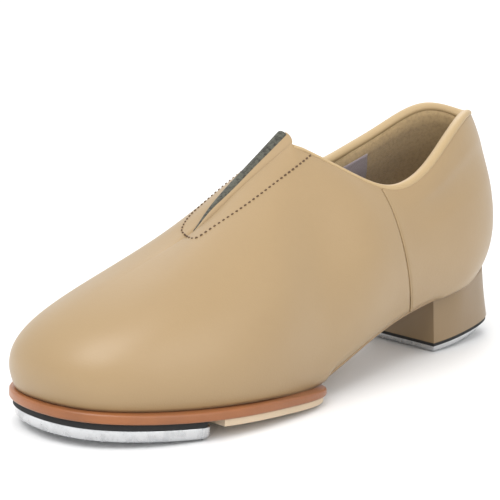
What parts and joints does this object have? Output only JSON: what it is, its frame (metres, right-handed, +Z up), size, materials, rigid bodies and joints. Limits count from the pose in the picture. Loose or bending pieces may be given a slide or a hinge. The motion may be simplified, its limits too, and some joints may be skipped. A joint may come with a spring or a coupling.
{
  "type": "tap shoe",
  "caption": "Slip-on split-sole leather tap shoe with a gored V-slit, aluminium toe and heel taps and a low block heel; it flexes at the arch.",
  "frame": {"origin": "middle of the shoe's box at ground level", "axes": "+Y from toe to heel, +X towards the little-toe side, +Z up"},
  "size_m": [0.0916, 0.2513, 0.1018],
  "materials": {
    "upper_leather": "smooth tan leather, satin",
    "binding_leather": "light tan glove leather",
    "lining": "brushed tan lining",
    "gore_elastic": "heathered woven elastic",
    "stiffener": "pressed stiffener sheet",
    "foam": "soft collar foam",
    "label": "blank woven label",
    "midsole_leather": "waxed orange-brown leather, dark edge",
    "outsole_suede": "buffed split leather",
    "insole_board": "fibre board",
    "spacer_rubber": "black fibre rubber",
    "tap_aluminium": "tumbled aluminium",
    "screw_steel": "zinc plated steel",
    "heel_stack": "stacked heel core",
    "heel_leather": "tan leather heel cover"
  },
  "bodies": {
    "forefoot": {"vamp": "upper_leather", "vamp_waist": "upper_leather", "vamp_lining": "lining", "waist_lining": "lining", "toe_puff": "stiffener", "waist_binding": "binding_leather", "gore_elastic": "gore_elastic", "gore_tab_lateral": "upper_leather", "gore_tab_medial": "upper_leather", "toe_tap": "tap_aluminium", "toe_tap_spacer": "spacer_rubber", "toe_tap_screws": "screw_steel", "outsole": "outsole_suede", "midsole": "midsole_leather", "forefoot_filler": "foam", "forefoot_insole": "insole_board", "sock_liner_front": "lining", "sock_liner_waist": "lining", "arch_cover": "upper_leather"},
    "rear": {"heel_quarter": "upper_leather", "quarter_lining": "lining", "heel_counter": "stiffener", "collar_foam": "foam", "heel_binding": "binding_leather", "size_label": "label", "sock_liner_heel": "lining", "heel_insole": "insole_board", "heel_block": "heel_stack", "heel_cover": "heel_leather", "heel_lift": "spacer_rubber", "heel_tap": "tap_aluminium", "heel_tap_screws": "screw_steel", "heel_nails": "screw_steel"}
  },
  "joints": [
    {"name": "arch_flex", "type": "hinge", "parent": "forefoot", "child": "rear", "pos_m": [-0.0012, 0.02339, 0.01474], "axis": [1, 0, 0], "range_deg": [0, 22], "stiffness_Nm_per_rad": 4, "deforming": ["vamp_waist", "waist_lining", "waist_binding", "arch_cover", "sock_liner_waist"]}
  ]
}
